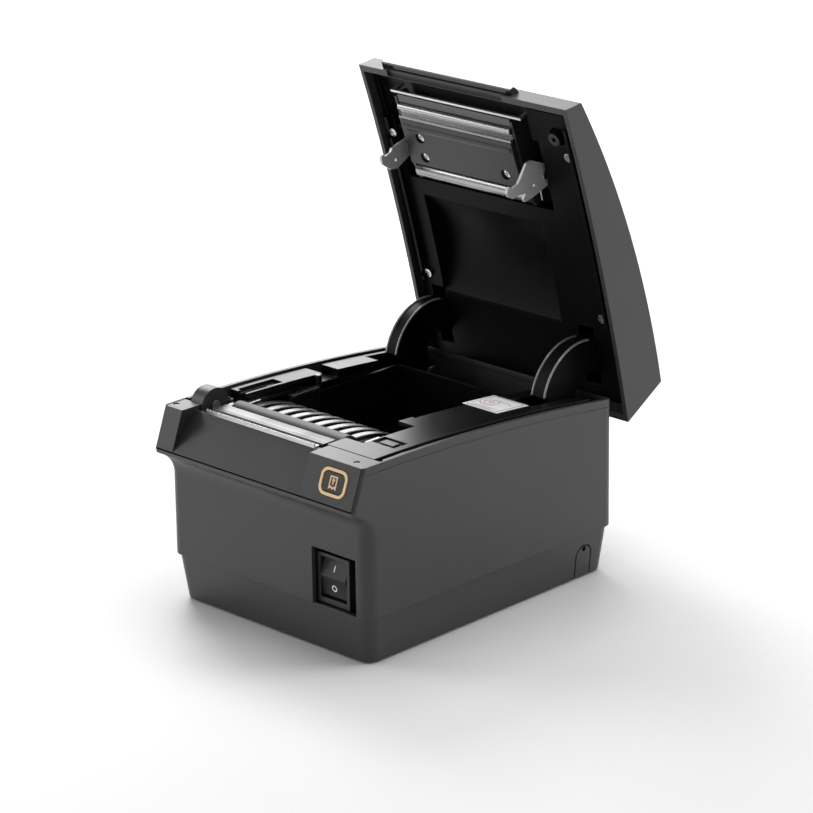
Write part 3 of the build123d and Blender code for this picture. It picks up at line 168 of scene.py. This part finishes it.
# object coordinates, stretched
def objectSpace(tree, scale=(1, 1, 1)):
    source = tree.nodes.new("ShaderNodeTexCoord")
    mapping = tree.nodes.new("ShaderNodeMapping")
    mapping.inputs["Scale"].default_value = scale
    tree.links.new(source.outputs["Object"], mapping.inputs["Vector"])
    return mapping.outputs["Vector"]


def noise(tree, vector, scale, detail, rough=0.55):
    node = tree.nodes.new("ShaderNodeTexNoise")
    node.inputs["Scale"].default_value = scale
    node.inputs["Detail"].default_value = detail
    node.inputs["Roughness"].default_value = rough
    tree.links.new(vector, node.inputs["Vector"])
    return node.outputs["Fac"]


# stretches a noise value between two numbers
def spread(tree, value, low, high, start=0.3, end=0.7):
    node = tree.nodes.new("ShaderNodeMapRange")
    for key, number in (("From Min", start), ("From Max", end), ("To Min", low), ("To Max", high)):
        node.inputs[key].default_value = number
    tree.links.new(value, node.inputs["Value"])
    return node.outputs["Result"]


# a mix of two colours; inputs 6 and 7 and output 2 are this node's colour sockets
def mixed(tree, factor, colourA, colourB):
    node = tree.nodes.new("ShaderNodeMix")
    node.data_type = "RGBA"
    for socket, colour in ((node.inputs[6], colourA), (node.inputs[7], colourB)):
        if isinstance(colour, tuple):
            socket.default_value = (*colour, 1)
        else:
            tree.links.new(colour, socket)
    tree.links.new(factor, node.inputs[0])
    return node.outputs[2]


edgeSamples = 4     # rays taken for each rounded edge


# a normal that rounds sharp edges by a small radius
def softEdge(tree, radius):
    node = tree.nodes.new("ShaderNodeBevel")
    node.samples = edgeSamples
    node.inputs["Radius"].default_value = radius
    return node.outputs["Normal"]


def bumped(tree, height, normal, strength, depth):
    node = tree.nodes.new("ShaderNodeBump")
    node.inputs["Strength"].default_value = strength
    node.inputs["Distance"].default_value = depth
    tree.links.new(height, node.inputs["Height"])
    tree.links.new(normal, node.inputs["Normal"])
    return node.outputs["Normal"]


# moulded plastic: fine spark-eroded grain, cloudy gloss, paler rounded edges that are rubbed wear
# on most plastics and a painted highlight on guide_plastic
def mouldedPlastic(name, look):
    material, tree, shader = newMaterial(name)
    space = objectSpace(tree)
    cloud = noise(tree, space, look["cloudScale"], look["cloudDetail"])
    grain = noise(tree, space, look["grainScale"], look["grainDetail"], look["grainRough"])
    rounded = softEdge(tree, look["edge"])
    geometry = tree.nodes.new("ShaderNodeNewGeometry")
    alike = tree.nodes.new("ShaderNodeVectorMath")
    alike.operation = "DOT_PRODUCT"
    tree.links.new(geometry.outputs["Normal"], alike.inputs[0])
    tree.links.new(rounded, alike.inputs[1])
    # mask of the rounded edges that take the paler colour: rubbed wear, and on guide_plastic a
    # painted highlight
    wearAndHighlightMask = spread(tree, alike.outputs["Value"], look["wearAndHighlight"], 0.0, look["paleEdgeBelow"],
                  look["plainFaceAbove"])
    body = mixed(tree, spread(tree, cloud, 0.0, 1.0), look["colour"], look["colourB"])
    tree.links.new(mixed(tree, wearAndHighlightMask, body, look["wearAndHighlightColour"]), shader.inputs["Base Color"])
    gloss = spread(tree, cloud, look["rough"] - look["roughVary"],
                   look["rough"] + look["roughVary"])
    tree.links.new(gloss, shader.inputs["Roughness"])
    relief = bumped(tree, grain, rounded, look["grainStrength"], look["grainDepth"])
    tree.links.new(relief, shader.inputs["Normal"])
    shader.inputs["Specular IOR Level"].default_value = look["specular"]
    return material


# metal with fine parallel scratches along one axis and a cloudy gloss
def brushedMetal(name, look):
    material, tree, shader = newMaterial(name)
    along = noise(tree, objectSpace(tree, look["stretch"]), look["lineScale"], look["lineDetail"])
    cloud = noise(tree, objectSpace(tree), look["cloudScale"], look["cloudDetail"])
    rounded = softEdge(tree, look["edge"])
    body = mixed(tree, spread(tree, along, 0.0, 1.0), look["colour"], look["colourB"])
    tree.links.new(body, shader.inputs["Base Color"])
    gloss = spread(tree, cloud, look["rough"] - look["roughVary"],
                   look["rough"] + look["roughVary"])
    tree.links.new(gloss, shader.inputs["Roughness"])
    relief = bumped(tree, along, rounded, look["lineStrength"], look["lineDepth"])
    tree.links.new(relief, shader.inputs["Normal"])
    shader.inputs["Metallic"].default_value = look["metallic"]
    return material


# settings of every moulded plastic, and under them what each one changes
plasticBase = {
    "colour": (0.036, 0.0365, 0.0385), "colourB": (0.042, 0.0425, 0.045),
    "wearAndHighlightColour": (0.085, 0.085, 0.087), "wearAndHighlight": 0.35, "rough": 0.42, "roughVary": 0.03,
    "cloudScale": 30.0, "grainScale": 2600.0, "grainStrength": 0.25, "grainDepth": 6e-05,
    "edge": 0.0005, "specular": 0.45, "cloudDetail": 4.0, "grainDetail": 2.0, "grainRough": 0.6,
    "paleEdgeBelow": 0.82, "plainFaceAbove": 0.985,
}
plastics = {
    "case_plastic": {},
    "fascia_plastic": {
        "colour": (0.019, 0.0195, 0.021), "colourB": (0.023, 0.0235, 0.025), "rough": 0.4,
        "grainStrength": 0.15,
    },
    "inner_plastic": {
        "colour": (0.003, 0.003, 0.0034), "colourB": (0.005, 0.005, 0.0055), "rough": 0.42,
        "grainStrength": 0.15, "wearAndHighlightColour": (0.03, 0.03, 0.03), "specular": 0.07,
    },
    "deck_plastic": {
        "colour": (0.0035, 0.0035, 0.004), "colourB": (0.006, 0.006, 0.0065), "rough": 0.33,
        "grainStrength": 0.12, "wearAndHighlightColour": (0.03, 0.03, 0.03), "specular": 0.3,
    },
    # the guide ribs' much paler rounded edges, mixed in almost fully, are a painted highlight for
    # their bright reflecting tops
    "guide_plastic": {
        "colour": (0.006, 0.006, 0.0065), "colourB": (0.009, 0.009, 0.0095), "rough": 0.26,
        "grainStrength": 0.05, "wearAndHighlightColour": (0.22, 0.22, 0.22), "wearAndHighlight": 0.9, "edge": 0.0009,
        "specular": 0.9,
    },
    "visor_gloss": {
        "colour": (0.004, 0.004, 0.0045), "colourB": (0.006, 0.006, 0.0065), "rough": 0.16,
        "grainStrength": 0.02, "wearAndHighlightColour": (0.02, 0.02, 0.02),
    },
    "button_plastic": {
        "colour": (0.008, 0.008, 0.009), "colourB": (0.011, 0.011, 0.012), "rough": 0.4,
        "grainStrength": 0.12,
    },
    "motor_black": {
        "colour": (0.004, 0.004, 0.0045), "colourB": (0.007, 0.007, 0.0075), "rough": 0.3,
        "grainStrength": 0.08, "wearAndHighlightColour": (0.02, 0.02, 0.02),
    },
    "ring_gold": {
        "colour": (0.78, 0.55, 0.28), "colourB": (0.84, 0.62, 0.34), "rough": 0.45,
        "wearAndHighlightColour": (0.9, 0.75, 0.5), "edge": 0.0003,
    },
    "lens_clear": {
        "colour": (0.02, 0.02, 0.022), "colourB": (0.025, 0.025, 0.028), "rough": 0.12,
        "grainStrength": 0.02, "wearAndHighlightColour": (0.03, 0.03, 0.03),
    },
    "gear_plastic": {
        "colour": (0.01, 0.01, 0.0105), "colourB": (0.014, 0.014, 0.0145), "rough": 0.38,
        "wearAndHighlightColour": (0.05, 0.05, 0.05),
    },
    "bush_plastic": {
        "colour": (0.42, 0.39, 0.3), "colourB": (0.48, 0.45, 0.36), "rough": 0.42,
        "wearAndHighlightColour": (0.5, 0.48, 0.4),
    },
    "platen_rubber": {
        "colour": (0.012, 0.012, 0.013), "colourB": (0.017, 0.017, 0.018), "rough": 0.5,
        "grainStrength": 0.5, "wearAndHighlightColour": (0.03, 0.03, 0.03), "specular": 0.4,
    },
    "foot_rubber": {
        "colour": (0.012, 0.012, 0.012), "colourB": (0.018, 0.018, 0.018), "rough": 0.75,
        "grainStrength": 0.5, "wearAndHighlightColour": (0.02, 0.02, 0.02), "specular": 0.3,
    },
    "head_face": {
        "colour": (0.009, 0.009, 0.0095), "colourB": (0.016, 0.016, 0.0165), "rough": 0.3,
        "grainStrength": 0.03,
    },
    "port_plastic": {
        "colour": (0.012, 0.012, 0.012), "colourB": (0.016, 0.016, 0.016), "rough": 0.45,
    },
    "label": {
        "colour": (0.93, 0.93, 0.93), "colourB": (0.96, 0.96, 0.96), "rough": 0.4,
        "wearAndHighlightColour": (0.96, 0.96, 0.96), "grainStrength": 0.1, "edge": 0.0001,
    },
    "labelInk": {
        "colour": (0.42, 0.26, 0.27), "colourB": (0.5, 0.32, 0.33), "rough": 0.5,
        "wearAndHighlightColour": (0.5, 0.34, 0.34), "grainStrength": 0.05, "edge": 0.0001,
    },
    # pale grey, a painted highlight along the hinge arms' rounded front edges, which are black
    # plastic
    "armHighlightPaint": {
        "colour": (0.3, 0.3, 0.3), "colourB": (0.36, 0.36, 0.36), "rough": 0.14,
        "grainStrength": 0.0, "wearAndHighlightColour": (0.36, 0.36, 0.36), "specular": 1.0,
    },
}
# settings of every brushed metal, and under them what each one changes
metalBase = {
    "colour": (0.56, 0.56, 0.57), "colourB": (0.66, 0.66, 0.67), "rough": 0.3,
    "roughVary": 0.07, "stretch": (0.02, 1.0, 1.0), "lineScale": 2200.0, "lineStrength": 0.25,
    "lineDepth": 5e-05, "cloudScale": 60.0, "edge": 0.0003, "metallic": 1.0, "lineDetail": 3.0,
    "cloudDetail": 3.0,
}
metals = {
    "steel": {
        "colour": (0.3, 0.3, 0.31), "colourB": (0.42, 0.42, 0.43), "rough": 0.36,
    },
    "bright_steel": {
        "colour": (0.5, 0.5, 0.51), "colourB": (0.66, 0.66, 0.67), "rough": 0.34,
    },
    "aluminium": {
        "colour": (0.09, 0.09, 0.092), "colourB": (0.5, 0.5, 0.51), "rough": 0.28,
        "lineScale": 900.0, "stretch": (0.006, 1.0, 1.0), "lineStrength": 0.08,
    },
    "grey_coat": {
        "colour": (0.01, 0.01, 0.0105), "colourB": (0.018, 0.018, 0.0185), "rough": 0.4,
        "metallic": 0.1, "lineScale": 700.0, "lineStrength": 0.1,
    },
    "hookSteel": {
        "colour": (0.5, 0.5, 0.505), "colourB": (0.66, 0.66, 0.665), "rough": 0.4,
        "metallic": 0.35,
    },
    "stripSteel": {
        "colour": (0.035, 0.035, 0.036), "colourB": (0.16, 0.16, 0.162), "rough": 0.38,
        "lineScale": 900.0, "stretch": (0.006, 1.0, 1.0), "lineStrength": 0.08,
    },
    "screw_steel": {
        "colour": (0.6, 0.6, 0.61), "colourB": (0.72, 0.72, 0.73), "rough": 0.24,
    },
    "motor_steel": {
        "colour": (0.4, 0.4, 0.41), "colourB": (0.48, 0.48, 0.49), "rough": 0.34,
    },
    "port_shell": {
        "colour": (0.6, 0.6, 0.61), "colourB": (0.7, 0.7, 0.71), "rough": 0.26,
    },
}


# green solder mask over copper tracks that show as slightly raised, paler lines
boardLook = {
    "mask": (0.012, 0.075, 0.03), "track": (0.03, 0.16, 0.06), "tracksPerMetre": 260.0,
    "trackWidth": 0.08, "edge": 0.0002, "strength": 0.3, "depth": 0.00004, "rough": 0.3,
}


def circuitBoard(name):
    material, tree, shader = newMaterial(name)
    space = objectSpace(tree, (boardLook["tracksPerMetre"], boardLook["tracksPerMetre"], 0.0))
    bricks = tree.nodes.new("ShaderNodeTexBrick")
    bricks.inputs["Scale"].default_value = 1.0
    bricks.inputs["Mortar Size"].default_value = boardLook["trackWidth"]
    tree.links.new(space, bricks.inputs["Vector"])
    tracks = bricks.outputs["Fac"]
    body = mixed(tree, tracks, boardLook["mask"], boardLook["track"])
    tree.links.new(body, shader.inputs["Base Color"])
    rounded = softEdge(tree, boardLook["edge"])
    relief = bumped(tree, tracks, rounded, boardLook["strength"], boardLook["depth"])
    tree.links.new(relief, shader.inputs["Normal"])
    shader.inputs["Roughness"].default_value = boardLook["rough"]
    return material


finishes = {name: mouldedPlastic(name, {**plasticBase, **own}) for name, own in plastics.items()}
finishes.update({name: brushedMetal(name, {**metalBase, **own}) for name, own in metals.items()})
finishes["board"] = circuitBoard("board")
# pieces whose finish differs from the rest of their slot
ownFinish = {"latch_hooks": "hookSteel", "guide_strip": "stripSteel"}
for part in frame["record"]["subparts"]:
    slots = nodes[part["node"]].data.materials
    slots.clear()
    slots.append(finishes[ownFinish.get(part["node"], part["material_slot"])])
print("materials:", len(finishes))


# a round wire along a path: at every point a circle stands square to the path, turned so that
# its first radius is the path's direction crossed with the printer's sideways direction
def wire(path, radius, around):
    heading = np.gradient(path, axis=0)
    heading /= np.linalg.norm(heading, axis=1, keepdims=True)
    side = np.cross(heading, sideways)
    side /= np.linalg.norm(side, axis=1, keepdims=True)
    over = np.cross(side, heading)
    angle = np.linspace(0, 2 * math.pi, around, endpoint=False)[:, None, None]
    return path[None] + radius * (np.cos(angle) * side[None] + np.sin(angle) * over[None])


# several grids in one mesh, as one printed or wound piece: a grid's columns follow the path, its
# rows go round it and meet again, and one flat face closes each end
def joined(name, grids, finish, body, smooth=True):
    points, faces, start = [], [], 0
    for grid in grids:
        rows, columns = grid.shape[:2]
        index = np.arange(rows * columns).reshape(rows, columns) + start
        across = np.roll(index, -1, axis=0)
        walls = np.stack([index[:, :-1], index[:, 1:], across[:, 1:], across[:, :-1]], -1)
        faces += walls.reshape(-1, 4).tolist()
        faces += [index[::-1, -1].tolist(), index[:, 0].tolist()]
        points.append(grid.reshape(-1, 3))
        start += rows * columns
    mesh = bpy.data.meshes.new(name)
    mesh.from_pydata(np.concatenate(points).tolist(), [], faces)
    mesh.polygons.foreach_set("use_smooth", np.full(len(faces), smooth))
    mesh.update()
    mesh.materials.append(finish)
    piece = bpy.data.objects.new(name, mesh)
    scene.collection.objects.link(piece)
    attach(piece, body)
    return piece


joints = {joint["name"]: joint for joint in frame["record"]["behaviour"]["joints"]}
hinge = joints["cover_hinge"]


# where a point of the shut cover lies with the cover open: turned back about the hinge's centre by
# the hinge's whole travel
def opened(points):
    angle = -math.radians(hinge["range_deg"][1])
    centre = np.array(hinge["pos_m"])
    points = np.asarray(points, float) - centre
    y = points[..., 1] * math.cos(angle) - points[..., 2] * math.sin(angle)
    z = points[..., 1] * math.sin(angle) + points[..., 2] * math.cos(angle)
    return np.stack([points[..., 0], y, z], -1) + centre


# torsion springs on the latch shaft, placed with the cover shut: a helix of constant pitch round
# the shaft from one x to the other, then a straight leg to the rear that drops a little
springs = {
    "shaft": (-0.044, 0.1154),      # the shaft's y and z
    "coils": ((-0.0584, -0.0542), (0.0322, 0.0366)),
    "coilRadius": 0.00275, "wireRadius": 0.00042, "turns": 4.5, "leg": 0.0135, "drop": 0.0012,
    "coilPoints": 260, "legPoints": 24, "bend": 0.02, "around": 10,
}


def latchSprings():
    y, z = springs["shaft"]
    grids = []
    for x0, x1 in springs["coils"]:
        t = np.linspace(0, 1, springs["coilPoints"])
        angle = -2 * math.pi * springs["turns"] * t + math.pi / 2
        coil = np.stack([x0 + (x1 - x0) * t, y + springs["coilRadius"] * np.cos(angle),
                         z + springs["coilRadius"] * np.sin(angle)], -1)
        reach = np.linspace(springs["bend"], 1, springs["legPoints"])[:, None]
        leg = coil[-1] + reach * np.array([0.0, springs["leg"], -springs["drop"]])
        path = opened(np.concatenate([coil, leg]))
        grids.append(wire(path, springs["wireRadius"], springs["around"]))
    piece = joined("latchSprings", grids, finishes["bright_steel"], "latch")
    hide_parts("latch_springs")
    return piece


latchSprings()


bluntest = 0.4      # keeps the outer corner of a sharp bend from running far out


# printed marks: each stroke is a flat ribbon in the plane of origin, across and up, standing a hair
# proud of it; its edges are half the width from the line, along the mean of the two normals there
def strokes(lines, width, origin, across, up, proud):
    normal = np.cross(across, up)
    grids = []
    for line in lines:
        path = np.array(line, float)
        closed = np.allclose(path[0], path[-1])
        step = np.diff(path, axis=0)
        step /= np.linalg.norm(step, axis=1, keepdims=True)
        turn = np.stack([-step[:, 1], step[:, 0]], -1)
        before = np.vstack([turn[-1:] if closed else turn[:1], turn])
        after = np.vstack([turn, turn[:1] if closed else turn[-1:]])
        mitre = before + after
        mitre /= np.maximum((mitre * mitre).sum(1, keepdims=True) / 2, bluntest)
        rails = []
        for half, lift in ((-0.5, 0.0), (-0.5, proud), (0.5, proud), (0.5, 0.0)):
            flat = path + mitre * half * width
            rails.append(origin + flat[:, :1] * across + flat[:, 1:] * up + lift * normal)
        grids.append(np.stack(rails))
    return grids


# points on a circle about a centre, at equal steps from one angle to another, in degrees
def arc(centreX, centreY, radius, start, stop, count):
    angle = np.radians(np.linspace(start, stop, count))
    return [(centreX + radius * math.cos(a), centreY + radius * math.sin(a)) for a in angle]


# a generic paper-feed picture on the button: a slip with a torn foot, and an arrow upwards
feedMark = {
    "width": 0.0008, "proud": 0.00035,
    "x": 0.0552, "rise": 0.0122,        # the picture's middle, rise being measured up the slope
    "slopeFoot": (-0.1029, 0.0863),     # y and z of the front slope's lower and upper edges
    "slopeHead": (-0.0948, 0.1081),
    "lines": [
        [(-0.0022, -0.0030), (-0.0022, 0.0030), (0.0022, 0.0030), (0.0022, -0.0030),
         (0.0011, -0.0021), (0.0, -0.0030), (-0.0011, -0.0021), (-0.0022, -0.0030)],
        [(0.0, -0.0010), (0.0, 0.0019)],
        [(-0.0010, 0.0009), (0.0, 0.0020), (0.0010, 0.0009)],
    ],
}


def paperMark():
    foot, head = (np.array([0.0, *feedMark[edge]]) for edge in ("slopeFoot", "slopeHead"))
    up = (head - foot) / np.linalg.norm(head - foot)
    origin = foot + up * feedMark["rise"] + sideways * feedMark["x"]
    grids = strokes(feedMark["lines"], feedMark["width"], origin, sideways, up, feedMark["proud"])
    return joined("feedMark", grids, finishes["ring_gold"], "button", smooth=False)


paperMark()


# print on the white label, all generic: a paper roll seen from the end, its slip, and an arc round
# it, over two lines and inside a border
labelPrint = {
    "width": 0.00045, "proud": 0.00006, "above": 0.00006,
    "edgeBand": 0.0005,     # points this near the label's front or rear belong to that edge
    "lines": [
        arc(-0.0035, 0.0010, 0.0042, 0, 360, 30), arc(-0.0035, 0.0010, 0.0014, 0, 360, 16),
        [(-0.0035, 0.0052), (0.0050, 0.0052), (0.0078, 0.0034)],
        arc(-0.0035, 0.0010, 0.0062, 200, 320, 16),
        [(-0.0088, -0.0078), (0.0088, -0.0078)], [(-0.0088, -0.0095), (0.0052, -0.0095)],
        [(-0.0104, -0.0110), (0.0104, -0.0110), (0.0104, 0.0110), (-0.0104, 0.0110),
         (-0.0104, -0.0110)],
    ],
}


# the label follows the deck's shallow arc, so the print's plane is tipped to the label's own slope
def labelMarks():
    low, high = (np.array(corner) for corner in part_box("deck_label"))
    mesh = nodes["deck_label"].data
    points = np.empty(len(mesh.vertices) * 3)
    mesh.vertices.foreach_get("co", points)
    matrix = np.array(nodes["deck_label"].matrix_world)
    points = points.reshape(-1, 3) @ matrix[:3, :3].T + matrix[:3, 3]
    front = points[points[:, 1] < low[1] + labelPrint["edgeBand"]][:, 2].max()
    rear = points[points[:, 1] > high[1] - labelPrint["edgeBand"]][:, 2].max()
    up = np.array([0.0, high[1] - low[1], rear - front])
    up /= np.linalg.norm(up)
    origin = np.array([*(low + high)[:2] / 2, (front + rear) / 2])
    origin += np.cross(sideways, up) * labelPrint["above"]
    grids = strokes(labelPrint["lines"], labelPrint["width"], origin, sideways, up,
                    labelPrint["proud"])
    return joined("labelPrint", grids, finishes["labelInk"], "base", smooth=False)


labelMarks()


# a pale grey rounded bead along both front edges of each hinge arm, a painted highlight on the
# black arm's rounded edge, on the arm's own curve with the cover shut, given by the y and z of
# three points
armHighlightBead = {
    "radius": 0.0007, "low": (0.0602, 0.0628), "middle": (0.0472, 0.0795),
    "high": (0.0490, 0.1036), "count": 60, "around": 10,
}


# the arc through three points: its centre is as far from a as from b and from c, which gives two
# straight-line equations, and the points stand at equal angles about it from a to c
def circleThrough(a, b, c, count):
    a, b, c = (np.array(p) for p in (a, b, c))
    system = 2 * np.array([b - a, c - a])
    centre = np.linalg.solve(system, np.array([b @ b - a @ a, c @ c - a @ a]))
    turns = np.unwrap([math.atan2(*(p - centre)[::-1]) for p in (a, b, c)])
    angle = np.linspace(turns[0], turns[2], count)
    return centre + np.linalg.norm(a - centre) * np.stack([np.cos(angle), np.sin(angle)], -1)


# the pale grey beads are a painted highlight along the black hinge arms' front edges
def hingeHighlightBeads():
    curve = circleThrough(armHighlightBead["low"], armHighlightBead["middle"], armHighlightBead["high"], armHighlightBead["count"])
    grids = []
    for node in ("left_hinge_arm", "right_hinge_arm"):
        low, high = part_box(node)
        for x in (low[0] + armHighlightBead["radius"], high[0] - armHighlightBead["radius"]):
            path = opened(np.column_stack([np.full(len(curve), x), curve]))
            grids.append(wire(path, armHighlightBead["radius"], armHighlightBead["around"]))
    return joined("hingeHighlightBeads", grids, finishes["armHighlightPaint"], "cover")


hingeHighlightBeads()


# marks on the rocker: a bar on its upper half and a ring on its lower half, each with its middle
# and the upward direction of the half that it lies on
rockerMark = {
    "width": 0.0006, "proud": 0.0002, "halfBar": 0.0017, "ringRadius": 0.0015, "ringPoints": 24,
    "barAt": (0.04465, -0.08856, 0.0461), "barUp": (0.0, 0.364, 0.931),
    "ringAt": (0.04465, -0.08895, 0.0356), "ringUp": (0.0, -0.182, 0.983),
}


def rockerMarks():
    half = rockerMark["halfBar"]
    bar = [(0.0, -half), (0.0, half)]
    ring = arc(0, 0, rockerMark["ringRadius"], 0, 360, rockerMark["ringPoints"])
    grids = []
    for line, place, up in ((bar, "barAt", "barUp"), (ring, "ringAt", "ringUp")):
        grids += strokes([line], rockerMark["width"], np.array(rockerMark[place]), sideways,
                         np.array(rockerMark[up]), rockerMark["proud"])
    return joined("rockerMarks", grids, finishes["label"], "rocker", smooth=False)


rockerMarks()
print("pieces added")
